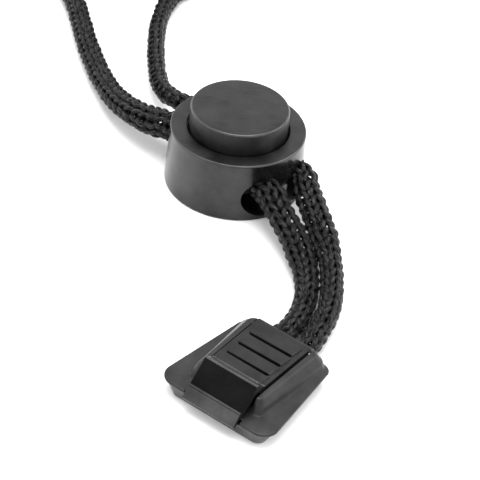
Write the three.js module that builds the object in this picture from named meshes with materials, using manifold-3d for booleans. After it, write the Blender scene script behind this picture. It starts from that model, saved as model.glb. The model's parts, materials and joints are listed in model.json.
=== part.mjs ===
// The adjustable end of a black lanyard: a round push-button cord lock with two cord channels, a
// trapezoid cord-end clip with a ribbed flip lid, and the knitted neck cord that runs from the clip,
// through the lock, round the neck loop (stored as a tied coil) and back.
// Millimetres, +Z up, origin at the centre of the lock barrel's flat underside.
import * as THREE from "three";
import { mergeVertices } from "three/addons/utils/BufferGeometryUtils.js";
import Module from "manifold-3d";

const wasm = await Module();
wasm.setup();

// ---- driving dimensions ----

const ROUND_SEGMENTS = 64;

// Cord lock. The channels run along the lock's own x axis, one on each side of its centre.
const CHANNEL_YAW = THREE.MathUtils.degToRad(-43);
const BARREL_BASE_R = 10.35;
const BARREL_TOP_R = 10;
const BARREL_H = 9.5;
const BARREL_FLOOR = 0.7;
const BARREL_BORE_R = 7.85;
const COLLAR_BORE_R = 7.5;
const COLLAR_H = 1.2;
const CHANNEL_R = 3;
const CHANNEL_Z = 3.7;
const CHANNEL_OFFSET = 3.5;
const BUTTON_R = 7.28;
const BUTTON_TOP = 13;
const BUTTON_HEAD_Z = 8.9;
const BUTTON_FOOT_Z = 2.6;
const BUTTON_SLOT_Z = 3.7;
const BUTTON_SLOT_HALF = 6.1;
const BARB_R = 7.6;
const BARB_Z = 6.9;
const BARB_H = 1;
const EDGE_ROUND = 0.35;
const LOWER_CHAMFER = 0.3;
const SPRING_POCKET_R = 1.45;
const SPRING_POCKET_TOP = 11.4;
const SPRING_R = 1;
const SPRING_WIRE_R = 0.15;
const SPRING_TURNS = 9;

// Cord: knitted, 3.8 mm wide and 2.5 mm thick, so its round solid has the same section area.
const CORD_R = 1.55;
const CORD_SIDES = 8;
const PINCHED_Z = 5.15;
const PINCHED_HALF_W = 2;
const PINCHED_HALF_H = 1.15;
const PINCHED_HALF_LENGTH = 9.9;
const LOCK_EXIT = 10.7;

// Coil of the neck loop's spare length.
const COIL_X = -21.5;
const COIL_Y = 80;
const COIL_INNER_R = 16.1;
const COIL_OUTER_R = 27.9;
const COIL_BOTTOM = 0.2;
const COIL_TOP = 7;
const TIE_WIDTH = 5;
const TIE_THICK = 0.8;
const GAP = 0.3;

// Cord-end clip. Its own x runs from the cord's side to the lid's lip.
const CLIP_X = 5.46;
const CLIP_Y = -44.27;
const CLIP_YAW = THREE.MathUtils.degToRad(-124.2);
const CLIP_TOP = 5.2;
const CATCH_TOP = 6.3;
const BASE_TOP = 2;
const BASE_FLOOR = 0.9;
const BED_HALF_W = 4.3;
const BED_FRONT = 4.4;
const COVER_BOTTOM = 2.3;
const SILL_BACK = 5.5;
const SILL_FRONT = 8.6;
const SILL_TOP = 2.9;
const LID_BACK_HALF_W = 4.35;
const LID_FRONT_HALF_W = 4.08;
const HINGE_X = -5.4;
const HINGE_Z = 4.1;
const KNUCKLE_R = 1.1;
const LID_BORE_R = 0.55;
const RAIL_BORE_R = 0.6;
const RAIL_BORE_END = 0.25;
const PIN_R = 0.4;
const PIN_HALF = 5.2;
const RIB_PITCH = 2.43;
const RIB_SLOT_HALF = 3.27;
const RIB_SLOT_W = 0.5;
const RIB_SLOT_DEPTH = 0.45;
const BASE_TEETH = [-3.6, -1.2, 1.2];
const LID_TEETH = [-3.2, -0.8, 1.6];
const BASE_TOOTH_HALF = 0.45;
const BASE_TOOTH_H = 0.25;
const LID_TOOTH_HALF = 0.4;
const LID_TOOTH_TIP_Z = 3.35;
const LID_UNDERSIDE_Z = 4.2;
const CORD_END_OFFSET = 2.1;
const CORD_END_HALF_W = 1.95;
const CORD_END_HALF_H = 0.75;
const CORD_END_Z = 1.98;
const CORD_END_BACK = -6.6;
const CORD_END_FRONT = 3.6;
const MOUTH_X = -7.1;
const MOUTH_Z = 1.85;

// ---- materials ----

const plastic = (color, roughness) =>
  new THREE.MeshStandardMaterial({ color, roughness, metalness: 0 });
const lockPlastic = () => plastic(0x2b2b2c, 0.5);
const clipPlastic = () => plastic(0x303032, 0.45);
const steel = () => new THREE.MeshStandardMaterial({ color: 0xa8a9ab, roughness: 0.35, metalness: 1 });
const yarn = () => plastic(0x141416, 0.7);
const band = () => plastic(0x1b1b1d, 0.8);

// ---- geometry helpers ----

// A closed three.js geometry as a solid for cutting and joining.
function solid(geometry) {
  const bare = geometry.clone();
  bare.deleteAttribute("normal");
  bare.deleteAttribute("uv");
  const merged = mergeVertices(bare, 1e-4);
  const vertProperties = new Float32Array(merged.attributes.position.array);
  const triVerts = new Uint32Array(merged.index.array);
  return new wasm.Manifold(new wasm.Mesh({ numProp: 3, vertProperties, triVerts }));
}

// A solid back as a three.js geometry.
function geometryOf(body) {
  const { vertProperties, triVerts } = body.getMesh();
  const geometry = new THREE.BufferGeometry();
  geometry.setAttribute("position", new THREE.BufferAttribute(new Float32Array(vertProperties), 3));
  geometry.setIndex(new THREE.BufferAttribute(new Uint32Array(triVerts), 1));
  geometry.computeVertexNormals();
  return geometry;
}

function piece(name, shape, material) {
  const mesh = new THREE.Mesh(shape.isBufferGeometry ? shape : geometryOf(shape), material);
  mesh.name = name;
  return mesh;
}

// A body turned about +Z from [radius, height] points that start and end on the axis.
function turned(profile, segments = ROUND_SEGMENTS) {
  const points = profile.map(([r, z]) => new THREE.Vector2(r, z));
  return new THREE.LatheGeometry(points, segments).rotateX(Math.PI / 2);
}

// Points of a quarter round of radius r that ends the profile corner at [x, z], going inwards and up.
function topRound(x, z, r, steps = 4) {
  const corner = [];
  for (let i = 0; i <= steps; i++) {
    const angle = (i / steps) * (Math.PI / 2);
    corner.push([x - r + r * Math.cos(angle), z - r + r * Math.sin(angle)]);
  }
  return corner;
}

function box(x0, x1, y0, y1, z0, z1) {
  const bar = new THREE.BoxGeometry(x1 - x0, y1 - y0, z1 - z0);
  return bar.translate((x0 + x1) / 2, (y0 + y1) / 2, (z0 + z1) / 2);
}

function rodAlongX(r, half, y, z, segments = 32) {
  return new THREE.CylinderGeometry(r, r, 2 * half, segments).rotateZ(Math.PI / 2).translate(0, y, z);
}

function rodAlongY(r, half, x, z, segments = 24) {
  return new THREE.CylinderGeometry(r, r, 2 * half, segments).translate(x, 0, z);
}

// A section drawn in y and z, run along x from x0 to x1.
function barAlongX(shape, x0, x1) {
  const bar = new THREE.ExtrudeGeometry(shape, { depth: x1 - x0, bevelEnabled: false, curveSegments: 12 });
  const [x, y, z] = [new THREE.Vector3(1, 0, 0), new THREE.Vector3(0, 1, 0), new THREE.Vector3(0, 0, 1)];
  return bar.applyMatrix4(new THREE.Matrix4().makeBasis(y, z, x)).translate(x0, 0, 0);
}

// A side profile drawn in x and z, run across y by half a width each way.
function acrossY(points, half) {
  const shape = new THREE.Shape(points.map(([x, z]) => new THREE.Vector2(x, z)));
  const slab = new THREE.ExtrudeGeometry(shape, { depth: 2 * half, bevelEnabled: false });
  return slab.translate(0, 0, -half).rotateX(Math.PI / 2);
}

// A trapezoid outline with rounded corners: half widths at its back and front, and a radius for each end.
function trapezoid(back, front, backHalf, frontHalf, backRound, frontRound, steps = 4) {
  const outline = [];
  const corner = (x, y, r, from) => {
    for (let i = 0; i <= steps; i++) {
      const angle = from + (i / steps) * (Math.PI / 2);
      outline.push(new THREE.Vector2(x + r * Math.cos(angle), y + r * Math.sin(angle)));
    }
  };
  corner(front - frontRound, -frontHalf + frontRound, frontRound, -Math.PI / 2);
  corner(front - frontRound, frontHalf - frontRound, frontRound, 0);
  corner(back + backRound, backHalf - backRound, backRound, Math.PI / 2);
  corner(back + backRound, -backHalf + backRound, backRound, Math.PI);
  return outline;
}

// A body lofted through outlines with equal point counts, each at its own height, from the lowest up.
function lofted(levels) {
  const count = levels[0].outline.length;
  const positions = levels.flatMap(({ outline, z }) => outline.flatMap((p) => [p.x, p.y, z]));
  const index = [];
  for (let level = 0; level + 1 < levels.length; level++) {
    for (let i = 0; i < count; i++) {
      const a = level * count + i;
      const b = level * count + ((i + 1) % count);
      index.push(a, b, b + count, a, b + count, a + count);
    }
  }
  const top = (levels.length - 1) * count;
  for (const [i, j, k] of THREE.ShapeUtils.triangulateShape(levels[0].outline, [])) index.push(k, j, i);
  for (const [i, j, k] of THREE.ShapeUtils.triangulateShape(levels.at(-1).outline, [])) {
    index.push(top + i, top + j, top + k);
  }
  const geometry = new THREE.BufferGeometry();
  geometry.setAttribute("position", new THREE.Float32BufferAttribute(positions, 3));
  geometry.setIndex(index);
  return geometry;
}

const slab = (outline, z0, z1) => lofted([{ outline, z: z0 }, { outline, z: z1 }]);

// ---- cord lock ----

function lockBarrel() {
  const profile = [
    [0, 0],
    [BARREL_BASE_R - LOWER_CHAMFER, 0],
    [BARREL_BASE_R, LOWER_CHAMFER],
    ...topRound(BARREL_TOP_R, BARREL_H, EDGE_ROUND),
    [COLLAR_BORE_R, BARREL_H],
    [COLLAR_BORE_R, BARREL_H - COLLAR_H],
    [BARREL_BORE_R, BARREL_H - COLLAR_H],
    [BARREL_BORE_R, BARREL_FLOOR],
    [0, BARREL_FLOOR],
  ];
  let barrel = solid(turned(profile));
  for (const side of [-1, 1]) {
    const channel = rodAlongX(CHANNEL_R, 2 * BARREL_BASE_R, side * CHANNEL_OFFSET, CHANNEL_Z);
    barrel = barrel.subtract(solid(channel));
  }
  return barrel;
}

// The plunger: the head that the thumb presses, two legs with retaining barbs, and the foot under the cords.
function lockButton() {
  const profile = [
    [0, BUTTON_FOOT_Z],
    [BUTTON_R, BUTTON_FOOT_Z],
    [BUTTON_R, BARB_Z - 0.4],
    [BARB_R, BARB_Z],
    [BARB_R, BARB_Z + BARB_H],
    [BUTTON_R, BARB_Z + BARB_H],
    ...topRound(BUTTON_R, BUTTON_TOP, EDGE_ROUND),
    [0, BUTTON_TOP],
  ];
  const slot = box(-10, 10, -BUTTON_SLOT_HALF, BUTTON_SLOT_HALF, BUTTON_SLOT_Z, BUTTON_HEAD_Z);
  const pocketSide = [[SPRING_POCKET_R, 0], [SPRING_POCKET_R, SPRING_POCKET_TOP]];
  const pocket = turned([[0, 0], ...pocketSide, [0, SPRING_POCKET_TOP]], 24);
  return solid(turned(profile)).subtract(solid(slot)).subtract(solid(pocket));
}

class Helix extends THREE.Curve {
  constructor(radius, turns, z0, z1) {
    super();
    Object.assign(this, { radius, turns, z0, z1 });
  }

  getPoint(t, target = new THREE.Vector3()) {
    const angle = 2 * Math.PI * this.turns * t;
    const z = THREE.MathUtils.lerp(this.z0, this.z1, t);
    return target.set(this.radius * Math.cos(angle), this.radius * Math.sin(angle), z);
  }
}

function disc(radius, sides) {
  const corners = [];
  for (let i = 0; i < sides; i++) {
    const angle = (2 * Math.PI * (i + 0.5)) / sides;
    corners.push(new THREE.Vector2(radius * Math.cos(angle), radius * Math.sin(angle)));
  }
  return new THREE.Shape(corners);
}

function lockSpring() {
  const clear = GAP + SPRING_WIRE_R;
  const coil = new Helix(SPRING_R, SPRING_TURNS, BARREL_FLOOR + clear, SPRING_POCKET_TOP - clear);
  return new THREE.ExtrudeGeometry(disc(SPRING_WIRE_R, 5), { steps: SPRING_TURNS * 12, extrudePath: coil });
}

// The stretch of cord that the plunger's foot pinches against the top of its channel.
function pinchedCord(side) {
  const section = new THREE.Shape();
  section.absellipse(side * CHANNEL_OFFSET, PINCHED_Z, PINCHED_HALF_W, PINCHED_HALF_H, 0, 2 * Math.PI);
  return barAlongX(section, -PINCHED_HALF_LENGTH, PINCHED_HALF_LENGTH);
}

// ---- cord-end clip ----

// The lower shell: a tray whose outside leans out to its rim, with teeth across the bed for the cord ends.
function clipBase() {
  const foot = trapezoid(-6.2, 8.8, 6.4, 7.3, 0.8, 1.2);
  const rim = trapezoid(-6.5, 9.2, 6.9, 8.0, 0.9, 1.7);
  const levels = [{ outline: foot, z: 0 }, { outline: rim, z: 1.4 }, { outline: rim, z: BASE_TOP }];
  let base = solid(lofted(levels));
  base = base.subtract(solid(box(-8, BED_FRONT, -BED_HALF_W, BED_HALF_W, BASE_FLOOR, BASE_TOP + 1)));
  for (const x of BASE_TEETH) {
    const root = BASE_FLOOR - 0.1;
    const tooth = [[x - BASE_TOOTH_HALF, root], [x + BASE_TOOTH_HALF, root], [x, BASE_FLOOR + BASE_TOOTH_H]];
    base = base.add(solid(acrossY(tooth, BED_HALF_W)));
  }
  return base;
}

// The frame round the lid: a flange that widens to the front, and the raised rails beside the lid.
function clipCover() {
  const flange = trapezoid(-6.7, 9.6, 7.4, 8.8, 1.3, 2.2);
  const foot = trapezoid(-6.6, 7.35, 6.8, 5.95, 1.3, 1.0);
  const crease = trapezoid(-6.45, 6.8, 6.4, 5.6, 1.3, 0.85);
  const shoulder = trapezoid(-6.3, 6.6, 6.1, 5.4, 1.2, 0.8);
  const railTop = trapezoid(-6.0, 6.2, 5.3, 5.0, 1.15, 0.7);
  let cover = solid(
    lofted([
      { outline: flange, z: COVER_BOTTOM },
      { outline: flange, z: 2.7 },
      { outline: foot, z: 2.95 },
      { outline: crease, z: 3.7 },
      { outline: shoulder, z: 4.3 },
      { outline: railTop, z: 4.9 },
    ]),
  );
  const window = trapezoid(-8, 12, LID_BACK_HALF_W + GAP, LID_FRONT_HALF_W + GAP, 0.05, 0.05, 1);
  const sill = solid(box(SILL_BACK, SILL_FRONT, -5, 5, 1, SILL_TOP));
  cover = cover.subtract(solid(slab(window, 1, 7)).subtract(sill));
  return cover.subtract(solid(rodAlongY(RAIL_BORE_R, PIN_HALF + RAIL_BORE_END, HINGE_X, HINGE_Z)));
}

// The flip lid: knuckle at the cord's side, ribbed pad that rises to a thumb catch, polished ramp and a lip
// over the base's front.
function clipLid() {
  const profile = [
    [HINGE_X, HINGE_Z - 0.4],
    [HINGE_X, CLIP_TOP],
    [3.9, CLIP_TOP],
    [4.7, 5.5],
    [5.5, CATCH_TOP - 0.1],
    [5.75, CATCH_TOP],
    [6, CATCH_TOP - 0.12],
    [9.09, 3.67],
    [10.3, 2.3],
    [10.2, 2.05],
    [9.65, 2.2],
    [8.3, 3.2],
    [6, 4.9],
    [5.4, 4.9],
    [4.6, LID_UNDERSIDE_Z],
  ].reverse();
  let lid = solid(acrossY(profile, 5)).add(solid(rodAlongY(KNUCKLE_R, 5, HINGE_X, HINGE_Z)));
  const toothRoot = LID_UNDERSIDE_Z + 0.1;
  for (const x of LID_TEETH) {
    const tooth = [[x - LID_TOOTH_HALF, toothRoot], [x, LID_TOOTH_TIP_Z], [x + LID_TOOTH_HALF, toothRoot]];
    lid = lid.add(solid(acrossY(tooth, BED_HALF_W - GAP)));
  }
  const plan = trapezoid(-8, 12, LID_BACK_HALF_W, LID_FRONT_HALF_W, 0.05, 0.05, 1);
  lid = lid.intersect(solid(slab(plan, 1, 7)));
  for (const row of [-1, 0, 1]) {
    const [back, front] = [row * RIB_PITCH - RIB_SLOT_W / 2, row * RIB_PITCH + RIB_SLOT_W / 2];
    const slot = box(back, front, -RIB_SLOT_HALF, RIB_SLOT_HALF, CLIP_TOP - RIB_SLOT_DEPTH, CLIP_TOP + 1);
    lid = lid.subtract(solid(slot));
  }
  return lid.subtract(solid(rodAlongY(LID_BORE_R, 6, HINGE_X, HINGE_Z)));
}

// A cord's flattened end inside the clip, between the teeth of the base and the lid.
function cordEnd(side) {
  const section = new THREE.Shape();
  section.absellipse(side * CORD_END_OFFSET, CORD_END_Z, CORD_END_HALF_W, CORD_END_HALF_H, 0, 2 * Math.PI);
  return barAlongX(section, CORD_END_BACK, CORD_END_FRONT);
}

// ---- cord ----

// A point on a channel's centre line, `along` from the lock's middle, in the whole part's frame.
function channelPoint(along, side) {
  const point = new THREE.Vector3(along, side * CHANNEL_OFFSET, PINCHED_Z);
  return point.applyAxisAngle(new THREE.Vector3(0, 0, 1), CHANNEL_YAW);
}

// A point in front of the clip's mouth, in the whole part's frame.
function mouthPoint(side) {
  const point = new THREE.Vector3(MOUTH_X, side * CORD_END_OFFSET, MOUTH_Z);
  point.applyAxisAngle(new THREE.Vector3(0, 0, 1), CLIP_YAW);
  return point.add(new THREE.Vector3(CLIP_X, CLIP_Y, 0));
}

const point = (x, y, z) => new THREE.Vector3(x, y, z);

const leftTail = [
  channelPoint(LOCK_EXIT, -1),
  point(6.65, -11.9, 4.3),
  point(8.4, -14.8, 3.4),
  point(9.8, -17.7, 2.6),
  point(11.05, -21.5, 2),
  point(11.55, -25.6, 1.7),
  point(11.2, -29.8, 1.65),
  point(9.9, -33.9, 1.7),
  mouthPoint(-1),
];

const rightTail = [
  channelPoint(LOCK_EXIT, 1),
  point(10.75, -7.4, 4.5),
  point(12.1, -11.3, 3.8),
  point(13.6, -16.1, 3.1),
  point(14.65, -21, 2.6),
  point(14.95, -26, 2.35),
  point(14.6, -30.7, 2.3),
  point(13.2, -35.3, 2.1),
  mouthPoint(1),
];

const leftLeg = [
  channelPoint(-LOCK_EXIT, -1),
  point(-12.5, 6.15, 4.5),
  point(-15.1, 8.3, 4),
  point(-17.75, 11.45, 3.2),
  point(-20.2, 15.7, 2.5),
  point(-22.4, 20.8, 2),
  point(-25.4, 29.2, 1.8),
  point(-27.5, 36.4, 1.8),
  point(-29.5, 43, 1.8),
  point(-32.4, 49, 1.8),
  point(-36, 54, 1.8),
];

const rightLeg = [
  channelPoint(-LOCK_EXIT, 1),
  point(-7.8, 11.15, 4.85),
  point(-10.3, 13, 4.4),
  point(-12.1, 16.1, 3.6),
  point(-13.3, 20.6, 2.6),
  point(-14.15, 26.5, 2),
  point(-14.7, 32, 1.8),
  point(-14.9, 37.4, 1.8),
  point(-14.4, 43, 1.8),
  point(-12.7, 48.4, 1.8),
  point(-9.6, 52.6, 1.8),
];

function cordTube(route, steps) {
  const path = new THREE.CatmullRomCurve3(route, false, "centripetal");
  return new THREE.ExtrudeGeometry(disc(CORD_R, CORD_SIDES), { steps, extrudePath: path });
}

// The ring that the coiled turns fill, squeezed where the tie holds it.
function coilRing() {
  const [inner, outer, bottom, top, r] = [COIL_INNER_R, COIL_OUTER_R, COIL_BOTTOM, COIL_TOP, 1.6];
  const section = [
    [inner + r, bottom],
    [outer - r, bottom],
    [outer, bottom + r],
    [outer, top - r],
    [outer - r, top],
    [inner + r, top],
    [inner, top - r],
    [inner, bottom + r],
    [inner + r, bottom],
  ];
  const ring = solid(turned(section, 48));
  const half = TIE_WIDTH / 2 + GAP;
  const around = box(-half, half, inner - 2, outer + 2, -1, COIL_TOP + 2);
  const squeezed = box(-half - 1, half + 1, ...tieOpening(GAP));
  return ring.subtract(solid(around).subtract(solid(squeezed)));
}

// The tie's inner opening, [low y, high y, low z, high z], made smaller by a gap.
function tieOpening(gap) {
  const low = COIL_INNER_R - 0.2 + TIE_THICK;
  const high = COIL_OUTER_R + 0.2 - TIE_THICK;
  return [low + gap, high - gap, TIE_THICK + gap, COIL_TOP + 0.2 - TIE_THICK - gap];
}

function coilTie() {
  const half = TIE_WIDTH / 2;
  const outer = box(-half, half, COIL_INNER_R - 0.2, COIL_OUTER_R + 0.2, 0, COIL_TOP + 0.2);
  return solid(outer).subtract(solid(box(-half - 1, half + 1, ...tieOpening(0))));
}

// ---- assembly ----

const lock = new THREE.Group();
lock.rotation.z = CHANNEL_YAW;
lock.add(
  piece("lock_barrel", lockBarrel(), lockPlastic()),
  piece("lock_button", lockButton(), lockPlastic()),
  piece("lock_spring", lockSpring(), steel()),
  piece("cord_in_lock_left", pinchedCord(-1), yarn()),
  piece("cord_in_lock_right", pinchedCord(1), yarn()),
);

const clip = new THREE.Group();
clip.position.set(CLIP_X, CLIP_Y, 0);
clip.rotation.z = CLIP_YAW;
clip.add(
  piece("clip_base", clipBase(), clipPlastic()),
  piece("clip_cover", clipCover(), clipPlastic()),
  piece("clip_lid", clipLid(), clipPlastic()),
  piece("clip_hinge_pin", rodAlongY(PIN_R, PIN_HALF, HINGE_X, HINGE_Z, 16), steel()),
  piece("cord_end_left", cordEnd(-1), yarn()),
  piece("cord_end_right", cordEnd(1), yarn()),
);

const coil = new THREE.Group();
coil.position.set(COIL_X, COIL_Y, 0);
coil.add(piece("neck_cord_coil", coilRing(), yarn()), piece("coil_tie", coilTie(), band()));

const lanyard = new THREE.Group();
lanyard.add(
  lock,
  clip,
  coil,
  piece("tail_cord_left", cordTube(leftTail, 12), yarn()),
  piece("tail_cord_right", cordTube(rightTail, 13), yarn()),
  piece("neck_cord_left", cordTube(leftLeg, 16), yarn()),
  piece("neck_cord_right", cordTube(rightLeg, 16), yarn()),
);

export default lanyard;
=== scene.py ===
"""Looks for the lanyard's adjustable end: push-button cord lock, cord-end clip and knitted neck cord.

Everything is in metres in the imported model's frame: +Z up, the lock's centre at the origin, the clip
towards -Y and the neck loop towards +Y.
"""
import json
import math

import bmesh
import bpy
import numpy as np
from mathutils import Matrix, Vector


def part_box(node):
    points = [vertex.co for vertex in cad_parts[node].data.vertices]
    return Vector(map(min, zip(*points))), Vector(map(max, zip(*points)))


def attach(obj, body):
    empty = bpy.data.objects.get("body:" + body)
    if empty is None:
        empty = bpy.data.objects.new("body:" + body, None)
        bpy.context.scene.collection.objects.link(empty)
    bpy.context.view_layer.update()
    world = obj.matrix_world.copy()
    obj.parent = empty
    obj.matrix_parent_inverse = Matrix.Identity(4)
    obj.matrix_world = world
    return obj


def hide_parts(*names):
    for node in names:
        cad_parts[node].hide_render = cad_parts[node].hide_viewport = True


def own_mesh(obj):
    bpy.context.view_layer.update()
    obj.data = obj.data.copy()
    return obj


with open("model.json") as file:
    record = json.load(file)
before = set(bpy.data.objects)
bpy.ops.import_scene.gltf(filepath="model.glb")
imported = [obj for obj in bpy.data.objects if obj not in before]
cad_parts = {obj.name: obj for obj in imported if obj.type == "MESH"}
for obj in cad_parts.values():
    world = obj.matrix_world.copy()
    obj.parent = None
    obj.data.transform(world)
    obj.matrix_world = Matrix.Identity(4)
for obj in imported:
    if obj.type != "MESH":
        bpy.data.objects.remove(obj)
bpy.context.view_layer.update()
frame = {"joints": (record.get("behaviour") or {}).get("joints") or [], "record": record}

MM = 0.001
JOINTS = {joint["name"]: joint for joint in frame["joints"]}
MOUNTS = {mount["name"]: mount for mount in frame["record"]["mounts"]}

# ---- camera ----

CAMERA_AT = (0, -0.21616, 0.1603)
CAMERA_DOWN = math.radians(38.495)
CAMERA_YAW = math.radians(-0.515)
CAMERA_ROLL = math.radians(6.011)
LENS = 135
SENSOR = 36


def make_camera():
    camera = bpy.data.objects.new("camera", bpy.data.cameras.new("camera"))
    bpy.context.scene.collection.objects.link(camera)
    camera.data.lens = LENS
    camera.data.sensor_width = SENSOR
    camera.data.clip_start = 0.01
    camera.data.clip_end = 20
    turn = Matrix.Rotation(CAMERA_YAW, 4, "Z") @ Matrix.Rotation(math.pi / 2 - CAMERA_DOWN, 4, "X")
    camera.matrix_world = Matrix.Translation(CAMERA_AT) @ turn @ Matrix.Rotation(CAMERA_ROLL, 4, "Z")
    bpy.context.scene.camera = camera


make_camera()

# ---- frames of the lock and the clip ----

# The lock is turned by this yaw. Two cord channels run along its own X, each with its offset and height;
# inside, the plunger holds the cord at the pinched height.
CHANNEL_YAW = math.radians(-43)
CHANNEL_OFFSET = 3.5 * MM
CHANNEL_Z = 3.7 * MM
CHANNEL_R = 3 * MM
PINCHED_Z = 5.15 * MM
LOCK_EXIT = 10.7 * MM

LOCK_TURN = Matrix.Rotation(CHANNEL_YAW, 4, "Z")
HINGE_AXIS = Vector(JOINTS["lid_flip"]["axis"])
CLIP_Y_AXIS = -HINGE_AXIS.normalized()
CLIP_X_AXIS = CLIP_Y_AXIS.cross(Vector((0, 0, 1)))
CLIP_TURN = Matrix((CLIP_X_AXIS, CLIP_Y_AXIS, (0, 0, 1))).transposed().to_4x4()
CLIP_PLACE = Matrix.Translation(MOUNTS["clip_underside"]["pos_m"]) @ CLIP_TURN
CORD_END_OFFSET = 2.1 * MM


def channel_point(along, side):
    """A point of the pinched cord in the lock, that far along its left (-1) or right (1) channel."""
    return tuple(LOCK_TURN @ Vector((along, side * CHANNEL_OFFSET, PINCHED_Z)))


def clip_point(x, y, z):
    """A point given in the clip's own frame, whose X runs from the cord side to the lip."""
    return tuple(CLIP_PLACE @ Vector((x, y, z)))


# ---- meshes from arrays ----

def new_object(name, vertices, faces):
    """An object from an array of vertices and a list of face arrays, each with equal-sided faces."""
    mesh = bpy.data.meshes.new(name)
    loops = np.concatenate([group.ravel() for group in faces])
    sizes = np.concatenate([np.full(len(group), group.shape[1]) for group in faces])
    mesh.vertices.add(len(vertices))
    mesh.vertices.foreach_set("co", np.asarray(vertices, np.float32).ravel())
    mesh.loops.add(len(loops))
    mesh.loops.foreach_set("vertex_index", loops.astype(np.int32))
    mesh.polygons.add(len(sizes))
    mesh.polygons.foreach_set("loop_start", (np.cumsum(sizes) - sizes).astype(np.int32))
    mesh.update(calc_edges=True)
    mesh.validate()
    mesh.shade_smooth()
    obj = bpy.data.objects.new(name, mesh)
    bpy.context.scene.collection.objects.link(obj)
    return obj


def grid_faces(rows, columns, start=0):
    """Quads of a tube of closed rings laid out ring by ring, and the two rings that close it."""
    ring = np.arange(columns)
    along = np.arange(rows - 1)[:, None] * columns + start
    after = (ring + 1) % columns
    quads = np.stack([along + ring, along + after, along + columns + after, along + columns + ring], -1)
    ends = np.array([ring[::-1] + start, ring + (rows - 1) * columns + start])
    return quads.reshape(-1, 4), ends


# ---- knitted cord ----

WALES = 5
COURSE = 1.6 * MM
YARN_R = 0.38 * MM
# The yarn's section, thinner outwards and wider across, as shares of its radius.
YARN_FLAT = 0.88
YARN_WIDE = 1.08
PATH_STEP = 0.4 * MM
SPAN_SAMPLES = 24
# A loop's reach along the cord, its bulge round the cord as a share of a wale, and the weave's depth.
LOOP_REACH = 1.02 * MM
LOOP_BULGE = 0.19
LOOP_DEPTH = 0.24 * MM
PURL_REACH = 0.375
# How much loops differ in reach, lift, sway (a share of a wale) and the yarn's thickness.
REACH_SPREAD = 0.09
LIFT_SPREAD = 0.045 * MM
SWAY_SPREAD = 0.035
FAT_SPREAD = 0.05
# The yarn's own coordinates, which its filaments follow: both are per millimetre of yarn.
STRAND_TWIST = 0.9
STRAND_STRETCH = 0.32


def unit(vectors):
    """Rows scaled to length 1."""
    return vectors / (np.linalg.norm(vectors, axis=1)[:, None] + 1e-12)


def distances(points):
    """How far along a line of points each one is."""
    return np.concatenate([[0], np.cumsum(np.linalg.norm(np.diff(points, axis=0), axis=1))])


def smooth_path(points, step=PATH_STEP):
    """A centripetal Catmull-Rom curve through the points, as points at even steps along it."""
    given = np.array(points, float)
    given = np.vstack([2 * given[0] - given[1], given, 2 * given[-1] - given[-2]])
    knots = np.concatenate([[0], np.cumsum(np.linalg.norm(np.diff(given, axis=0), axis=1) ** 0.5)])
    found = []
    for i in range(1, len(given) - 2):
        t = np.linspace(knots[i], knots[i + 1], SPAN_SAMPLES, endpoint=False)[:, None]

        def mix(p, q, low, high):
            return ((high - t) * p + (t - low) * q) / (high - low)

        k = knots[i - 1:i + 3]
        a = [mix(given[i - 1 + j], given[i + j], k[j], k[j + 1]) for j in range(3)]
        b = [mix(a[j], a[j + 1], k[j], k[j + 2]) for j in range(2)]
        found.append(mix(b[0], b[1], k[1], k[2]))
    curve = np.vstack([*found, given[-2:-1]])
    distance = distances(curve)
    even = np.linspace(0, distance[-1], max(2, int(distance[-1] / step)))
    return np.stack([np.interp(even, distance, curve[:, axis]) for axis in range(3)], 1)


def smooth_noise(rng, count, spread):
    """A function of loop number that wanders by about the spread from loop to loop."""
    loops = np.arange(count + 3) - 1
    values = rng.normal(0, spread, len(loops))
    return lambda turns: np.interp(turns, loops, values)


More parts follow.
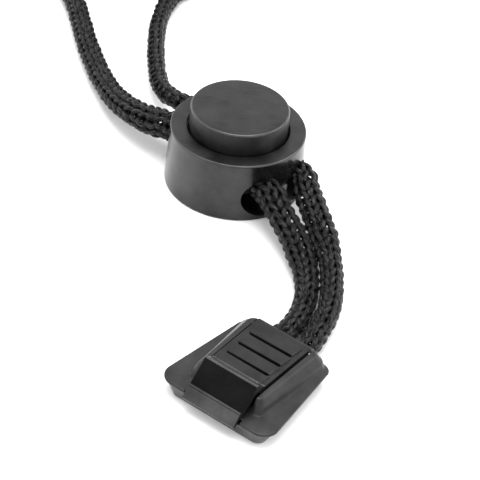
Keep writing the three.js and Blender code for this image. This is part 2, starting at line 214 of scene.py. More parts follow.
class Knit:
    """A tubular knit: one yarn runs round and round the cord's oval section in loops.

    The section is a list of (distance along the cord, half width, half height); a distance below zero
    counts back from the cord's end.
    """

    def __init__(self, path, section, seed, purl_wales=()):
        self.path = path
        self.distance = distances(path)
        self.length = self.distance[-1]
        tangent = unit(np.gradient(path, axis=0))
        self.side = unit(np.cross((0, 0, 1), tangent))
        self.up = np.cross(tangent, self.side)
        keys = np.array([(d if d >= 0 else self.length + d, w, h) for d, w, h in section])
        self.half_w, self.half_h = (np.interp(self.distance, keys[:, 0], keys[:, i]) for i in (1, 2))
        self.purl_wales = purl_wales
        self.loops = int(self.length / COURSE * WALES)
        rng = np.random.default_rng(seed)
        self.reach = smooth_noise(rng, self.loops, REACH_SPREAD)
        self.lift = smooth_noise(rng, self.loops, LIFT_SPREAD)
        self.sway = smooth_noise(rng, self.loops, SWAY_SPREAD)
        self.fat = smooth_noise(rng, self.loops, FAT_SPREAD)

    def at(self, values, s):
        return np.stack([np.interp(s, self.distance, values[:, axis]) for axis in range(3)], 1)

    def yarn_line(self, t):
        """Points of the yarn's centre line and the outward direction there, for its turn angles t."""
        loop = t / (2 * math.pi)
        s = loop / WALES * COURSE + LOOP_REACH * (1 + self.reach(loop)) * np.cos(t)
        s = np.clip(s, 0, self.length)
        angle = (t + (LOOP_BULGE * np.sin(2 * t) + self.sway(loop)) * 2 * math.pi) / WALES
        wale = np.round(loop).astype(int)
        flip = np.isin(wale % WALES, self.purl_wales) & (np.abs(loop - wale) < PURL_REACH)
        depth = np.where(flip, 1, -1) * LOOP_DEPTH * np.cos(2 * t) + self.lift(loop)
        inset = YARN_R + LOOP_DEPTH
        w = np.interp(s, self.distance, self.half_w) - inset + depth
        h = np.interp(s, self.distance, self.half_h) - inset + depth
        side, up = self.at(self.side, s), self.at(self.up, s)
        out = side * np.cos(angle)[:, None] + up * np.sin(angle)[:, None]
        centre = self.at(self.path, s)
        return centre + side * (w * np.cos(angle))[:, None] + up * (h * np.sin(angle))[:, None], out

    def yarn(self, from_s, to_s, per_loop, sides, fatten):
        """Vertices, strand coordinates and ring count of the yarn between two distances along the cord."""
        first, last = (2 * math.pi * WALES * s / COURSE for s in (from_s, to_s))
        t = np.linspace(first, last, max(3, int((last - first) / (2 * math.pi) * per_loop)))
        line, out = self.yarn_line(t)
        along = unit(np.gradient(line, axis=0))
        out = unit(out - along * (out * along).sum(1)[:, None])
        across = np.cross(along, out)
        radius = YARN_R * fatten * (1 + self.fat(t / (2 * math.pi)))
        turn = np.arange(sides) * 2 * math.pi / sides
        ring = (out[:, None] * (YARN_FLAT * np.cos(turn))[None, :, None]
                + across[:, None] * (YARN_WIDE * np.sin(turn))[None, :, None])
        vertices = line[:, None] + ring * radius[:, None, None]
        spun = distances(line)[:, None] / MM
        twist = turn[None, :] + spun * STRAND_TWIST
        strand = np.stack([np.cos(twist), np.sin(twist), np.repeat(spun * STRAND_STRETCH, sides, 1)], -1)
        return vertices.reshape(-1, 3), strand.reshape(-1, 3), len(t)


def knitted_cord(name, points, section, seed, stretches, purl_wales=()):
    """A knitted cord along a route, in stretches of (from, to, the yarn's fineness there)."""
    knit = Knit(smooth_path(points), section, seed, purl_wales)
    vertices, strands, faces, start = [], [], [], 0
    for from_s, to_s, yarn in stretches:
        from_s, to_s = (s if s >= 0 else knit.length + s for s in (from_s, to_s))
        found, strand, rows = knit.yarn(from_s, min(to_s, knit.length), *yarn)
        faces += grid_faces(rows, yarn[1], start)
        vertices.append(found)
        strands.append(strand)
        start += len(found)
    obj = new_object(name, np.vstack(vertices), faces)
    attribute = obj.data.attributes.new("strand", "FLOAT_VECTOR", "POINT")
    attribute.data.foreach_set("vector", np.vstack(strands).astype(np.float32).ravel())
    return obj, knit


# Routes of the free cord from the lock's holes on; each leg ends where the coil starts or stops.

LEFT_TAIL = [
    (0.00665, -0.01190, 0.00430), (0.00840, -0.01480, 0.00340), (0.00980, -0.01770, 0.00260),
    (0.01105, -0.02150, 0.00200), (0.01155, -0.02560, 0.00170), (0.01120, -0.02980, 0.00165),
    (0.00990, -0.03390, 0.00170),
]
RIGHT_TAIL = [
    (0.01075, -0.00740, 0.00450), (0.01210, -0.01130, 0.00380), (0.01360, -0.01610, 0.00310),
    (0.01465, -0.02100, 0.00260), (0.01495, -0.02600, 0.00235), (0.01460, -0.03070, 0.00230),
    (0.01320, -0.03530, 0.00210),
]
LEFT_LEG = [
    (-0.01250, 0.00615, 0.00450), (-0.01510, 0.00830, 0.00400), (-0.01775, 0.01145, 0.00320),
    (-0.02020, 0.01570, 0.00250), (-0.02240, 0.02080, 0.00200), (-0.02540, 0.02920, 0.00180),
    (-0.02750, 0.03640, 0.00180), (-0.02950, 0.04300, 0.00180), (-0.03240, 0.04900, 0.00180),
    (-0.03600, 0.05400, 0.00180),
]
RIGHT_LEG = [
    (-0.00780, 0.01115, 0.00485), (-0.01030, 0.01300, 0.00440), (-0.01210, 0.01610, 0.00360),
    (-0.01330, 0.02060, 0.00260), (-0.01415, 0.02650, 0.00200), (-0.01470, 0.03200, 0.00180),
    (-0.01490, 0.03740, 0.00180), (-0.01440, 0.04300, 0.00180), (-0.01270, 0.04840, 0.00180),
    (-0.00960, 0.05260, 0.00180),
]

COIL_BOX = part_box("neck_cord_coil")
COIL_CENTRE = (COIL_BOX[0] + COIL_BOX[1]) / 2
COIL_RADII = [26 * MM, 22 * MM, 18 * MM, 18 * MM, 22 * MM, 26 * MM]
COIL_LOW = 1.85 * MM
COIL_HIGH = 5.15 * MM
COIL_START = math.radians(211)
COIL_TURNS = 5.69
TURNS_BELOW = 3
# The jog's start and end, as shares of a turn.
JOG_FROM = 0.697
JOG_TO = 0.864
POINTS_PER_TURN = 36


def coil_points():
    """The coil's turns, wound clockwise: three from outside in, then three on top from inside out.
    Each turn is round but for a jog at the same place, where the cord steps to its next turn."""
    points = []
    for i in range(int(COIL_TURNS * POINTS_PER_TURN) + 1):
        turn = i / POINTS_PER_TURN
        jog = min(max((turn % 1 - JOG_FROM) / (JOG_TO - JOG_FROM), 0), 1)
        ease = jog * jog * (3 - 2 * jog)
        here = min(int(turn), len(COIL_RADII) - 1)
        after = min(here + 1, len(COIL_RADII) - 1)
        radius = COIL_RADII[here] + (COIL_RADII[after] - COIL_RADII[here]) * ease
        layer = (here >= TURNS_BELOW) + (ease if here == TURNS_BELOW - 1 else 0)
        angle = COIL_START - turn * 2 * math.pi
        points.append((
            COIL_CENTRE.x + radius * math.cos(angle),
            COIL_CENTRE.y + radius * math.sin(angle),
            COIL_LOW + (COIL_HIGH - COIL_LOW) * layer,
        ))
    return points


END = math.inf
# Half the width and height of the cord where the plunger pinches it, in millimetres.
PINCHED = (1.9, 1.15)
# The yarn's fineness: samples per loop, sides and thickening, finest in the tails and coarsest in the coil.
TAIL_YARN = (20, 8, 1)
LEG_YARN = (16, 7, 1)
COIL_YARN = (8, 3, 1.12)
CORD_END_Z = 1.98 * MM
CLIP_MOUTH = (-7.1 * MM, 1.85 * MM)


def in_metres(section):
    """A section list in metres, from one in millimetres."""
    return [tuple(value * MM for value in row) for row in section]


def through_lock(side, direction):
    """Points of the pinched cord from the lock's middle out to one of its holes."""
    return [channel_point(along * direction, side) for along in (0, LOCK_EXIT / 2, LOCK_EXIT)]


def declare_cord(obj):
    """Hands the piece back unchanged."""
    return obj


def make_tail(name, side, route, seed, exit_halves):
    mouth_x, mouth_z = CLIP_MOUTH
    offset = side * CORD_END_OFFSET
    points = [*through_lock(side, 1), *route, clip_point(mouth_x, offset, mouth_z)]
    points += [clip_point(x * MM, offset, CORD_END_Z) for x in (-4.5, 0, 3.4)]
    section = in_metres([
        (0, *PINCHED), (7, *PINCHED), (10, *exit_halves), (14, 2.25, 1.7), (22, 2.3, 1.6), (28, 1.8, 1.5),
        (-14, 1.75, 1.5), (-10, 1.95, 0.8), (-1, 1.95, 0.75),
    ])
    obj, knit = knitted_cord(name, points, section, seed, [(0, END, TAIL_YARN)])
    return declare_cord(obj)


def make_neck_cord():
    left, right = [*through_lock(-1, -1), *LEFT_LEG], [*through_lock(1, -1), *RIGHT_LEG]
    section = in_metres([
        (0, *PINCHED), (7, *PINCHED), (9.5, 2.75, 2.2), (15, 2.75, 2.1), (20, 2.4, 1.8), (28, 2.0, 1.6),
        (60, 1.85, 1.6), (90, 1.9, 1.6), (-75, 1.9, 1.6), (-55, 1.55, 1.75), (-20, 1.55, 1.65),
        (-12, 1.6, 1.45), (-7, *PINCHED), (-0.1, *PINCHED),
    ])
    coil_from, coil_to = 75 * MM, -62 * MM
    stretches = [(0, coil_from, LEG_YARN), (coil_from, coil_to, COIL_YARN), (coil_to, END, LEG_YARN)]
    points = [*left, *coil_points(), *right[::-1]]
    obj, knit = knitted_cord("neck_cord", points, section, 7, stretches, purl_wales=(2,))
    return declare_cord(obj)


tail_left = make_tail("tail_left", -1, LEFT_TAIL, 11, (2.45, 2.05))
tail_right = make_tail("tail_right", 1, RIGHT_TAIL, 12, (2.0, 1.6))
neck_cord = make_neck_cord()
for cord, nodes in (
    (tail_left, ("tail_cord_left", "cord_in_lock_left", "cord_end_left")),
    (tail_right, ("tail_cord_right", "cord_in_lock_right", "cord_end_right")),
    (neck_cord, ("neck_cord_left", "neck_cord_right", "neck_cord_coil")),
):
    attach(cord, "root")
    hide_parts(*nodes)

# ---- materials ----


class Shader:
    """A node material on one Principled BSDF, with short ways to add and join nodes."""

    def __init__(self, name, roughness, **fixed):
        self.material = bpy.data.materials.new(name)
        self.material.use_nodes = True
        self.nodes = self.material.node_tree.nodes
        self.links = self.material.node_tree.links
        self.bsdf = self.nodes["Principled BSDF"]
        self.bsdf.inputs["Roughness"].default_value = roughness
        for socket, value in fixed.items():
            self.bsdf.inputs[socket.replace("_", " ")].default_value = value
        self.height = None

    def add(self, kind, inputs=(), **settings):
        node = self.nodes.new(kind)
        for key, value in settings.items():
            setattr(node, key, value)
        for socket, value in dict(inputs).items():
            if isinstance(value, bpy.types.NodeSocket):
                self.links.new(value, node.inputs[socket])
            else:
                node.inputs[socket].default_value = value
        return node

    def place(self, stretch=(1, 1, 1), turn=0):
        """Where a point is on the piece, in millimetres, stretched and turned about +Z."""
        at = self.add("ShaderNodeTexCoord").outputs["Object"]
        scale = [1000 * s for s in stretch]
        mapping = self.add("ShaderNodeMapping", {"Vector": at, "Rotation": (0, 0, turn), "Scale": scale})
        return mapping.outputs["Vector"]

    def noise(self, vector, scale, detail=4, roughness=0.55):
        inputs = {"Vector": vector, "Scale": scale, "Detail": detail, "Roughness": roughness}
        return self.add("ShaderNodeTexNoise", inputs).outputs["Fac"]

    def fit(self, value, low, high, to_low, to_high):
        inputs = {"Value": value, "From Min": low, "From Max": high, "To Min": to_low, "To Max": to_high}
        return self.add("ShaderNodeMapRange", inputs).outputs["Result"]

    def math(self, operation, a, b):
        return self.add("ShaderNodeMath", {0: a, 1: b}, operation=operation).outputs[0]

    def colour(self, factor, dark, light):
        ramp = self.add("ShaderNodeMix", {"Factor": factor}, data_type="RGBA")
        ramp.inputs["A"].default_value = (*dark, 1)
        ramp.inputs["B"].default_value = (*light, 1)
        self.links.new(ramp.outputs["Result"], self.bsdf.inputs["Base Color"])

    def roughness(self, value):
        self.links.new(value, self.bsdf.inputs["Roughness"])

    def bump(self, height, strength, distance):
        """Adds a layer of relief; the distance is in metres."""
        inputs = {"Height": height, "Strength": strength, "Distance": distance}
        node = self.add("ShaderNodeBump", inputs)
        if self.height is not None:
            self.links.new(self.height, node.inputs["Normal"])
        self.height = node.outputs["Normal"]
        self.links.new(self.height, self.bsdf.inputs["Normal"])


def yarn_material():
    """Glossy black yarn: filaments run round and along each strand, in duller and brighter tufts."""
    shader = Shader("yarn", 0.3)
    strand = shader.add("ShaderNodeAttribute", attribute_name="strand").outputs["Vector"]
    filaments = shader.noise(strand, 3.4, 3)
    tufts = shader.noise(strand, 0.9, 2)
    glint = shader.fit(filaments, 0.38, 0.66, 0.02, 0.75)
    shine = shader.math("MULTIPLY", glint, shader.fit(tufts, 0.3, 0.7, 0.45, 1))
    shader.links.new(shine, shader.bsdf.inputs["Specular IOR Level"])
    shader.colour(shader.fit(filaments, 0.35, 0.7, 0, 1), (0.0003, 0.0003, 0.0003), (0.004, 0.004, 0.0042))
    shader.roughness(shader.fit(tufts, 0.3, 0.7, 0.22, 0.4))
    shader.bump(filaments, 0.9, 0.0002)
    return shader.material


def moulded_material(name, dark, light, roughness, specular, grain=0.25, scratches=0):
    """Black moulded plastic: fine grain, faint clouds of dust and handling, and a few rubbed scratches."""
    shader = Shader(name, roughness)
    place = shader.place()
    clouds = shader.noise(place, 0.22, 5, 0.6)
    grit = shader.noise(place, 9, 3)
    dust = shader.math("ADD", clouds, shader.math("MULTIPLY", grit, 0.35))
    shader.colour(shader.fit(dust, 0.45, 0.85, 0, 1), dark, light)
    shader.roughness(shader.fit(clouds, 0.3, 0.7, roughness - 0.06, roughness + 0.08))
    sheen = shader.fit(clouds, 0.32, 0.68, specular * 0.78, specular * 1.24)
    shader.links.new(sheen, shader.bsdf.inputs["Specular IOR Level"])
    shader.bump(grit, grain, 0.00003)
    if scratches:
        for turn in (0.5, -0.9):
            streak = shader.noise(shader.place((0.12, 2.6, 1), turn), 1.1, 2, 0.4)
            line = shader.fit(streak, 0.66, 0.70, 0, 1)
            shader.bump(line, scratches, 0.00004)
    return shader.material


def steel_material():
    """Bright drawn wire, with faint marks along it."""
    shader = Shader("steel", 0.3, Metallic=1.0)
    drawn = shader.noise(shader.place((1, 1, 6)), 3, 3)
    shader.colour(drawn, (0.42, 0.42, 0.44), (0.62, 0.62, 0.63))
    shader.bump(drawn, 0.1, 0.00001)
    return shader.material


def band_material():
    """Matt woven strap."""
    shader = Shader("band", 0.75, Sheen_Weight=0.2, Sheen_Roughness=0.5)
    place = shader.place()
    wave = {"Vector": place, "Scale": 1.9, "Distortion": 0.6}
    warp, weft = (shader.add("ShaderNodeTexWave", wave, bands_direction=way) for way in ("X", "DIAGONAL"))
    height = shader.math("MAXIMUM", warp.outputs["Fac"], weft.outputs["Fac"])
    shader.colour(height, (0.006, 0.006, 0.006), (0.03, 0.03, 0.032))
    shader.bump(height, 0.5, 0.0001)
    return shader.material


YARN = yarn_material()
STEEL = steel_material()
BAND = band_material()
BLACK = (0.002, 0.002, 0.002)
CHARCOAL = (0.008, 0.008, 0.0085)
# The light grey of a painted highlight: on the lock's rounded top edges, and on the lid's lip mixed with its
# grain.
PAINTED_HIGHLIGHT_GREY = (0.03, 0.03, 0.031)
LOCK_TOP = moulded_material("lock_plastic", BLACK, CHARCOAL, 0.42, 0.31, scratches=0.3)
LOCK_SIDE = moulded_material("lock_wall_plastic", BLACK, (0.006, 0.006, 0.006), 0.14, 0.46, grain=0.06)
# The barrel's and button's rounded top edges get this lighter plastic as a painted highlight.
LOCK_EDGE = moulded_material("lock_edge_plastic", (0.008, 0.008, 0.008), PAINTED_HIGHLIGHT_GREY, 0.3, 0.62, grain=0.1)
CLIP = moulded_material("clip_plastic", (0.003, 0.003, 0.003), (0.011, 0.011, 0.0115), 0.4, 0.36)
# On the lid's catch, this lighter plastic is a painted highlight.
CLIP_RIM = moulded_material("clip_rim_plastic", (0.006, 0.006, 0.006), (0.014, 0.014, 0.0145), 0.22, 0.8)
LID_PAD = moulded_material("lid_plastic", BLACK, CHARCOAL, 0.42, 0.26)
# The lip's lighter colour is partly its grain and partly a painted highlight.
LID_LIP = moulded_material("lid_lip_plastic", (0.012, 0.012, 0.012), PAINTED_HIGHLIGHT_GREY, 0.35, 0.45, grain=0.6)
# The ramp's near-black colour and faint specular are painted shade on its sloped face.
RAMP = moulded_material("ramp_plastic", (0.001, 0.001, 0.001), (0.003, 0.003, 0.003), 0.2, 0.08, grain=0.04)


def paint(obj, *materials):
    """Gives a piece its materials, the first one for every face that isn't told otherwise."""
    obj.data.materials.clear()
    for material in materials:
        obj.data.materials.append(material)


for cord in (tail_left, tail_right, neck_cord):
    paint(cord, YARN)

# ---- plastic pieces ----

LOCK_PLACE = Matrix.Translation(MOUNTS["lock_underside"]["pos_m"]) @ LOCK_TURN


def outward(obj):
    """Merges the points that meet on an axis and turns every face outwards."""
    work = bmesh.new()
    work.from_mesh(obj.data)
    bmesh.ops.remove_doubles(work, verts=work.verts, dist=1e-6)
    bmesh.ops.recalc_face_normals(work, faces=work.faces)
    work.to_mesh(obj.data)
    work.free()
    return obj


def turned(name, profile, segments=192):
    """A body turned about +Z from [radius, height] points that start and end on the axis."""
    angle = np.arange(segments) * 2 * math.pi / segments
    rows = [(max(r, 1e-7), z) for r, z in profile]
    rings = np.array([[(r * math.cos(a), r * math.sin(a), z) for a in angle] for r, z in rows])
    return outward(new_object(name, rings.reshape(-1, 3), grid_faces(len(rows), segments)))


def arc(x, z, radius, start, stop, steps=6):
    """Points of an arc about x, z, between two angles in degrees."""
    angles = np.radians(np.linspace(start, stop, steps + 1))
    return [(x + radius * math.cos(a), z + radius * math.sin(a)) for a in angles]


def trapezoid(back, front, back_half, front_half, back_round, front_round, steps=10):
    """A trapezoid outline with rounded corners: half widths at its back and front, and two radii."""
    outline = []
    for x, y, radius, start in (
        (front - front_round, -front_half + front_round, front_round, -90),
        (front - front_round, front_half - front_round, front_round, 0),
        (back + back_round, back_half - back_round, back_round, 90),
        (back + back_round, -back_half + back_round, back_round, 180),
    ):
        outline += arc(x, y, radius, start, start + 90, steps)
    return outline


def lofted(name, levels):
    """A body through outlines with equal point counts, each with its height, from the lowest up."""
    vertices = np.array([[(x, y, z) for x, y in outline] for outline, z in levels]).reshape(-1, 3)
    return outward(new_object(name, vertices, grid_faces(len(levels), len(levels[0][0]))))


def run_across(name, profile, low_y, high_y):
    """A side profile in x and z, run along y."""
    vertices = [(x, y, z) for y in (high_y, low_y) for x, z in profile]
    return outward(new_object(name, np.array(vertices), grid_faces(2, len(profile))))


def block(name, xs, ys, zs):
    """A box between pairs of limits in millimetres."""
    (x0, x1), (z0, z1) = xs, zs
    return run_across(name, scaled([(x0, z0), (x1, z0), (x1, z1), (x0, z1)]), ys[0] * MM, ys[1] * MM)


def rod(name, radius, half, at, axis, segments=48):
    """A round rod about a centre, half its length to each side along an axis."""
    body = turned(name, [(0, -half), (radius, -half), (radius, half), (0, half)], segments)
    tilt = Vector((0, 0, 1)).rotation_difference(Vector(axis)).to_matrix().to_4x4()
    body.data.transform(Matrix.Translation(at) @ tilt)
    return body


def scaled(points):
    """Points of a profile or an outline, from millimetres to metres."""
    return [(x * MM, z * MM) for x, z in points]


def scaled_levels(levels):
    return [(scaled(outline), z * MM) for outline, z in levels]


def settle(obj):
    """Applies the object's modifiers."""
    evaluated = obj.evaluated_get(bpy.context.evaluated_depsgraph_get())
    mesh = bpy.data.meshes.new_from_object(evaluated)
    obj.modifiers.clear()
    old, obj.data = obj.data, mesh
    bpy.data.meshes.remove(old)


def join_cut(target, cutter, operation="DIFFERENCE"):
    """Cuts one body from another, or joins them, and removes the second."""
    change = target.modifiers.new("shape", "BOOLEAN")
    change.operation = operation
    change.solver = "EXACT"
    change.object = cutter
    settle(target)
    bpy.data.objects.remove(cutter)


def shade(obj, sharp_angle):
    """Smooth shading, but for edges sharper than an angle in degrees."""
    obj.data.shade_smooth()
    obj.data.set_sharp_from_angle(angle=math.radians(sharp_angle))


EASED_ABOVE = 32
SHARP_ABOVE = 28


def ease_edges(obj, width, segments=3):
    """Rounds the edges sharper than an angle and shades the rest smooth."""
    bevel = obj.modifiers.new("ease", "BEVEL")
    bevel.width = width
    bevel.segments = segments
    bevel.limit_method = "ANGLE"
    bevel.angle_limit = math.radians(EASED_ABOVE)
    bevel.use_clamp_overlap = True
    settle(obj)
    shade(obj, SHARP_ABOVE)
    weights = obj.modifiers.new("weights", "WEIGHTED_NORMAL")
    weights.keep_sharp = True
    settle(obj)


def paint_sides(obj, radius, wall):
    """The outer wall beyond a radius has its own finish, and its rounded top edge is painted lighter as a
    painted highlight.
    """
    steep, sloped = 0.45, 0.93
    paint(obj, LOCK_TOP, wall, LOCK_EDGE)
    for face in obj.data.polygons:
        if math.hypot(face.center.x, face.center.y) > radius and face.center.z > 0:
            tilt = abs(face.normal.z)
            # Edge faces between steep and flat are painted lighter as a painted highlight.
            face.material_index = 1 if tilt < steep else 2 if tilt < sloped else 0


# The lock's radii and heights, in millimetres.
BARREL_FOOT_R = 10.35
BARREL_TAPER = 0.35
BARREL_TOP = 9.5
WALL_FROM, WALL_TO, WALL_STEPS = 0.45, 8.9, 10
COLLAR_BORE_R, COLLAR_FOOT = 7.5, 8.3
BORE_R, BORE_FLOOR = 7.85, 0.7
BUTTON_R, BUTTON_FOOT, BARB_R = 7.28, 2.6, 7.6
LOCK_SHARP = 35


def make_barrel():
    """The barrel: a slightly tapered wall, a bore with a narrower collar on top, and two cord channels."""
    narrowing, rise = BARREL_TAPER / WALL_STEPS, (WALL_TO - WALL_FROM) / WALL_STEPS
    wall = [(BARREL_FOOT_R - narrowing * i, WALL_FROM + rise * i) for i in range(WALL_STEPS + 1)]
    profile = scaled([
        (0, 0), (9.8, 0), *arc(10.1, 0.25, 0.25, -90, 0, 5), *wall,
        *arc(9.72, 9.22, 0.28, 0, 90, 7), (8.2, BARREL_TOP),
        *arc(7.7, 9.3, 0.2, 90, 180, 4), (COLLAR_BORE_R, COLLAR_FOOT), (BORE_R, COLLAR_FOOT),
        (BORE_R, BORE_FLOOR), (0, BORE_FLOOR),
    ])
    barrel = turned("barrel", profile, 256)
    for side in (-1, 1):
        channel = rod("channel", CHANNEL_R, 21 * MM, (0, side * CHANNEL_OFFSET, CHANNEL_Z), (1, 0, 0), 96)
        join_cut(barrel, channel)
    shade(barrel, LOCK_SHARP)
    paint_sides(barrel, 9.6 * MM, LOCK_SIDE)
    barrel.data.transform(LOCK_PLACE)
    return barrel


def make_button():
    """The button and its plunger: a barely crowned top, a barb, the cord's slot and the spring's pocket."""
    crown_r, crown_from, crown_rise = 6.86, 12.92, 0.08
    crown_angles = [math.radians(a) for a in range(15, 91, 15)]
    crown = [(crown_r * math.cos(a), crown_from + crown_rise * math.sin(a)) for a in crown_angles]
    barb = [(BUTTON_R, 6.5), (BARB_R, 6.9), (BARB_R, 7.9), (BUTTON_R, 7.9)]
    side_step, side_rows = 0.47, 9
    side = [(BUTTON_R, 8.2 + side_step * i) for i in range(side_rows)]
    rim = arc(6.88, 12.52, 0.4, 0, 84, 7)
    profile = scaled([(0, BUTTON_FOOT), (BUTTON_R, BUTTON_FOOT), *barb, *side, *rim, *crown])
    button = turned("push_button", profile, 224)
    join_cut(button, block("slot", (-10, 10), (-6.1, 6.1), (3.7, 8.9)))
    join_cut(button, turned("pocket", scaled([(0, 0), (1.45, 0), (1.45, 11.4), (0, 11.4)]), 48))
    shade(button, LOCK_SHARP)
    paint_sides(button, 6.9 * MM, LOCK_TOP)
    button.data.transform(LOCK_PLACE)
    return button


SPRING_R = 1 * MM
SPRING_WIRE_R = 0.15 * MM
SPRING_TURNS = 9
SPRING_LOW = 1.15 * MM
SPRING_HIGH = 10.95 * MM
SPRING_CLOSED = 0.04


def make_spring():
    """Compression spring with closed ends, drawn as one wire."""
    t = np.linspace(0, 1, SPRING_TURNS * 40)
    open_part = np.clip((t - 1 / SPRING_TURNS) / (1 - 2 / SPRING_TURNS), 0, 1)
    z = SPRING_LOW + (SPRING_HIGH - SPRING_LOW) * (SPRING_CLOSED * t + (1 - SPRING_CLOSED) * open_part)
    angle = 2 * math.pi * SPRING_TURNS * t
    line = np.stack([SPRING_R * np.cos(angle), SPRING_R * np.sin(angle), z], 1)
    out = np.stack([np.cos(angle), np.sin(angle), 0 * angle], 1)
    across = np.cross(unit(np.gradient(line, axis=0)), out)
    turn = np.arange(12) * 2 * math.pi / 12
    ring = out[:, None] * np.cos(turn)[None, :, None] + across[:, None] * np.sin(turn)[None, :, None]
    wire = (line[:, None] + SPRING_WIRE_R * ring).reshape(-1, 3)
    spring = new_object("plunger_spring", wire, grid_faces(len(t), 12))
    spring.data.transform(LOCK_PLACE)
    paint(spring, STEEL)
    return spring


# In the clip's own frame, in millimetres: the lid's pin, how far cuts run past the clip, the lid's plates.
PIN_X, PIN_Z, PIN_HALF, PIN_R = -5.4, 4.1, 4.9, 0.35
PIN_HOLE_R = 0.5
BEYOND_BACK, BEYOND_FRONT = -8, 12
PLATE_STEP = 2.43
PLATES = (-1.5, -0.5, 0.5, 1.42)


def pin_hole(half_length):
    return rod("pin_hole", PIN_HOLE_R * MM, half_length * MM, (PIN_X * MM, 0, PIN_Z * MM), (0, 1, 0))


def make_clip_base():
    """The tray: it widens upwards, with a bed for the two cord ends and three teeth across it."""
    levels = [
        (trapezoid(-6.1, 8.7, 6.3, 7.2, 0.8, 1.15), 0), (trapezoid(-6.2, 8.8, 6.4, 7.3, 0.8, 1.2), 0.12),
        (trapezoid(-6.35, 9.02, 6.68, 7.68, 0.85, 1.5), 0.8),
        (trapezoid(-6.48, 9.18, 6.88, 7.97, 0.9, 1.7), 1.4),
        (trapezoid(-6.5, 9.2, 6.9, 8.0, 0.9, 1.7), 1.88), (trapezoid(-6.4, 9.1, 6.8, 7.9, 0.85, 1.65), 2.0),
    ]
    base = lofted("clip_tray", scaled_levels(levels))
    join_cut(base, block("bed", (BEYOND_BACK, 4.4), (-4.3, 4.3), (0.9, 3)))
    for x in (-3.6, -1.2, 1.2):
        tooth = scaled([(x - 0.45, 0.8), (x + 0.45, 0.8), (x, 1.15)])
        join_cut(base, run_across("tooth", tooth, -4.4 * MM, 4.4 * MM), "UNION")
    ease_edges(base, 0.07 * MM, 2)
    base.data.transform(CLIP_PLACE)
    paint(base, CLIP_RIM)
    return base


def make_clip_cover():
    """The frame round the lid: a flange that widens to the front, and raised rails that end in posts."""
    flange = [
        (trapezoid(-6.6, 9.5, 7.3, 8.7, 1.25, 2.15), 2.3), (trapezoid(-6.7, 9.6, 7.4, 8.8, 1.3, 2.2), 2.38),
        (trapezoid(-6.7, 9.6, 7.4, 8.8, 1.3, 2.2), 2.56),
        (trapezoid(-6.68, 9.52, 7.35, 8.73, 1.3, 2.2), 2.66),
        (trapezoid(-6.66, 9.3, 7.25, 8.55, 1.3, 2.1), 2.72),
    ]
    foot, foot_z = trapezoid(-6.6, 7.35, 6.8, 5.95, 1.3, 1.0), 2.92
    crease, crease_rise = trapezoid(-6.45, 6.8, 6.4, 5.6, 1.3, 0.85), 0.88
    sweep, sweep_steps, hollow = [], 8, 1.7
    for i in range(1, sweep_steps + 1):
        t = i / sweep_steps
        outline = [((1 - t) * fx + t * cx, (1 - t) * fy + t * cy) for (fx, fy), (cx, cy) in zip(foot, crease)]
        sweep.append((outline, foot_z + crease_rise * t ** hollow))
    top = [
        (trapezoid(-6.3, 6.7, 6.1, 5.45, 1.25, 0.8), 4.06),
        (trapezoid(-6.05, 6.45, 5.6, 5.2, 1.2, 0.7), 4.66),
        (trapezoid(-5.95, 6.3, 5.4, 5.05, 1.15, 0.65), 4.82),
        (trapezoid(-5.8, 6.1, 5.2, 4.85, 1.1, 0.6), 4.9),
    ]
    cover = lofted("clip_frame", scaled_levels([*flange, (foot, foot_z), *sweep, *top]))
    opening = trapezoid(BEYOND_BACK, BEYOND_FRONT, 4.65, 4.38, 0.05, 0.05, 1)
    window = lofted("window", scaled_levels([(opening, 1), (opening, 7)]))
    join_cut(window, block("sill", (5.5, 8.6), (-5, 5), (1, 2.9)))
    join_cut(cover, window)
    join_cut(cover, pin_hole(5.15))
    ease_edges(cover, 0.09 * MM, 3)
    cover.data.transform(CLIP_PLACE)
    paint(cover, CLIP)
    return cover


def lid_profile():
    """The lid from the side: knuckle, underside, lip, ridge, ramp, catch and pad."""
    knuckle = arc(PIN_X, PIN_Z, 1.02, 90, 265, 14)
    underside = [(-4.5, 3.7), (-4.2, 4.2), (4.6, 4.2), (5.4, 4.9), (6, 4.9), (8.3, 3.2)]
    lip = [(9.65, 2.2), (10.2, 2.05), (10.3, 2.3), (9.3, 3.5)]
    ridge = [
        (9.24, 3.66), (9.14, 3.62), (9.08, 3.78), (8.96, 3.86), (8.84, 3.8), (8.78, 3.68), (8.66, 3.76),
    ]
    catch = [(7.5, 4.72), (6.15, 5.98), (5.98, 6.2), (5.8, 6.3), (5.6, 6.24), (5.3, 6.0)]
    pad = [(4.9, 5.62), (4.5, 5.36), (4.1, 5.2)]
    return scaled([*knuckle, *underside, *lip, *ridge, *catch, *pad])


def paint_lid(lid):
    """Matt pad, polished ramp darkened as painted shade, catch brightened as a painted highlight and grained
    lip lightened partly as a painted highlight, told apart by their place and slope.
    """
    pad_end, ramp_start, ridge_start, ramp_end = 4.2, 6.05, 8.7, 8.72
    paint(lid, LID_PAD, RAMP, CLIP_RIM, LID_LIP)
    for face in lid.data.polygons:
        x, _, z = face.center / MM
        slope = face.normal
        # Ramp faces: near-black, as painted shade.
        if ramp_start < x < ramp_end and slope.z > 0.4 and z > 3.5 and slope.x > 0.3:
            face.material_index = 1
        # Catch faces: the lighter rim plastic, as a painted highlight.
        elif pad_end < x <= ramp_start and z > 5.2:
            face.material_index = 2
        # Front-facing lip faces: lighter, partly for the grain and partly as a painted highlight.
        elif x >= ridge_start and slope.x > 0.2:
            face.material_index = 3


def raised_plate(x):
    """One of the pad's raised plates, with its edges eased in three steps."""
    levels = []
    for i, z in [(0, 4.9), (0, 5.26), (0.05, 5.33), (0.16, 5.37)]:
        back, front = x - 1 + i, x + 1 - i
        levels.append(([(back, -3.5 + i), (front, -3.5 + i), (front, 3.45 - 2 * i), (back, 3.6 - 2 * i)], z))
    return lofted("rib", scaled_levels(levels))


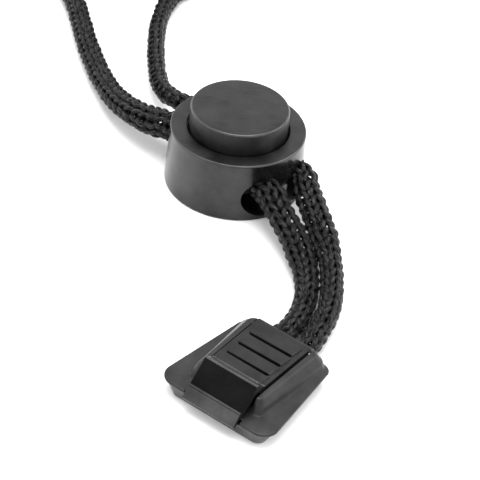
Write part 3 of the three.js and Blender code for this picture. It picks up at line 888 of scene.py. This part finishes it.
def make_clip_lid():
    lid = run_across("clip_flip_lid", lid_profile(), -5 * MM, 5 * MM)
    for x in (-3.2, -0.8, 1.6):
        tooth = scaled([(x - 0.4, 4.3), (x, 3.35), (x + 0.4, 4.3)])
        join_cut(lid, run_across("tooth", tooth, -4.0 * MM, 4.0 * MM), "UNION")
    plan = trapezoid(BEYOND_BACK, BEYOND_FRONT, 4.35, 4.08, 0.05, 0.05, 1)
    join_cut(lid, lofted("plan", scaled_levels([(plan, 1), (plan, 7)])), "INTERSECT")
    for row in PLATES:
        join_cut(lid, raised_plate(row * PLATE_STEP), "UNION")
    for row in (-1, 0, 1):
        x = row * PLATE_STEP
        slot = [(x - 0.19, -3.3), (x + 0.19, -3.3), (x + 0.27, 3.3), (x - 0.27, 3.3)]
        join_cut(lid, lofted("slot", scaled_levels([(slot, 4.72), (slot, 6)])))
    join_cut(lid, pin_hole(6))
    ease_edges(lid, 0.06 * MM, 3)
    paint_lid(lid)
    lid.data.transform(CLIP_PLACE)
    return lid


def make_hinge_pin():
    """A plain pin with domed ends."""
    dome = [(x, z * 0.3) for x, z in arc(0, 0, PIN_R, 0, 90, 5)]
    profile = scaled([*[(x, -PIN_HALF - z) for x, z in dome[::-1]], *[(x, PIN_HALF + z) for x, z in dome]])
    pin = turned("lid_hinge_pin", profile, 40)
    seat = Matrix.Translation((PIN_X * MM, 0, PIN_Z * MM)) @ Matrix.Rotation(math.pi / 2, 4, "X")
    pin.data.transform(CLIP_PLACE @ seat)
    paint(pin, STEEL)
    return pin


TIE_THICK = 0.6 * MM
TIE_INSET = 0.3 * MM
TIE_STEPS = 96
TIE_COLUMNS = 9
TIE_CORNER = 5
# The overlap stands this much proud, in the middle of its share of the way round.
OVERLAP_THICK = 0.25 * MM
OVERLAP_AT = 0.25
OVERLAP_HALF = 0.09
TIE_EDGE = 0.06 * MM


def make_tie():
    """A woven band round the coil's turns, thicker at the overlap, with thinned edges."""
    low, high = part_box("coil_tie")
    centre = (low + high) / 2
    width, half_y, half_z = high.x - low.x, (high.y - low.y) / 2, (high.z - low.z) / 2
    shares = [j / (TIE_COLUMNS - 1) for j in range(TIE_COLUMNS)]
    vertices = []
    for i in range(TIE_STEPS):
        angle = 2 * math.pi * i / TIE_STEPS
        c, s = math.cos(angle), math.sin(angle)
        bulge = (abs(c) ** TIE_CORNER + abs(s) ** TIE_CORNER) ** (-1 / TIE_CORNER)
        c, s = c * bulge, s * bulge
        overlap = OVERLAP_THICK * max(0, 1 - abs((i / TIE_STEPS - OVERLAP_AT) / OVERLAP_HALF) ** 6)
        outer = [(share, overlap - TIE_EDGE * abs(2 * share - 1) ** 4 - TIE_INSET) for share in shares]
        inner = [(share, -TIE_THICK - TIE_INSET) for share in reversed(shares)]
        for share, reach in outer + inner:
            x = centre.x + width * (share - 0.5)
            vertices.append((x, centre.y + c * (half_y + reach), centre.z + s * (half_z + reach)))
    columns = 2 * TIE_COLUMNS
    index = np.arange(columns)
    beside = (index + 1) % columns
    rows = []
    for i in range(TIE_STEPS):
        here, after = i * columns, (i + 1) % TIE_STEPS * columns
        rows.append(np.stack([here + index, here + beside, after + beside, after + index], 1))
    tie = new_object("coil_band", np.array(vertices), [np.vstack(rows)])
    paint(tie, BAND)
    return tie


def add_piece(obj, body, node):
    """Puts a piece on its body, in place of its CAD node."""
    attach(obj, body)
    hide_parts(node)


add_piece(make_barrel(), "root", "lock_barrel")
add_piece(make_button(), "button", "lock_button")
spring = make_spring()
add_piece(make_clip_base(), "root", "clip_base")
add_piece(make_clip_cover(), "root", "clip_cover")
add_piece(make_clip_lid(), "lid", "clip_lid")
add_piece(make_hinge_pin(), "root", "clip_hinge_pin")
add_piece(make_tie(), "root", "coil_tie")
add_piece(spring, "root", "lock_spring")

# The spring stands on the barrel's seat and keeps its foot there while the button goes down.
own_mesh(spring)

# ---- stage ----


def make_stage():
    """A pale floor in an even white surround."""
    bpy.ops.mesh.primitive_plane_add(size=6, location=(0, 0, 0))
    floor = bpy.context.object
    floor.name = "floor"
    material = bpy.data.materials.new("floor")
    material.use_nodes = True
    shader = material.node_tree.nodes["Principled BSDF"]
    shader.inputs["Base Color"].default_value = (0.93, 0.93, 0.93, 1)
    shader.inputs["Roughness"].default_value = 0.9
    shader.inputs["Specular IOR Level"].default_value = 0.1
    floor.data.materials.append(material)

    world = bpy.context.scene.world or bpy.data.worlds.new("world")
    bpy.context.scene.world = world
    world.use_nodes = True
    background = world.node_tree.nodes["Background"]
    background.inputs["Color"].default_value = (1, 1, 1, 1)
    background.inputs["Strength"].default_value = 1.5


def area_light(name, at, target, size, power):
    """A round lamp at a place, facing a target; the size is in metres and the power in watts."""
    light = bpy.data.lights.new(name, "AREA")
    light.shape = "DISK"
    light.size = size
    light.energy = power
    obj = bpy.data.objects.new(name, light)
    bpy.context.scene.collection.objects.link(obj)
    obj.location = at
    obj.rotation_euler = (Vector(target) - Vector(at)).to_track_quat("-Z", "Y").to_euler()


make_stage()
area_light("key", (0.55, 0.1, 0.35), (0, 0, 0), 0.35, 1)
area_light("overhead", (0, 0.02, 0.8), (0, 0.02, 0), 0.6, 5)
view = bpy.context.scene.view_settings
view.view_transform = "Standard"
view.look = "None"
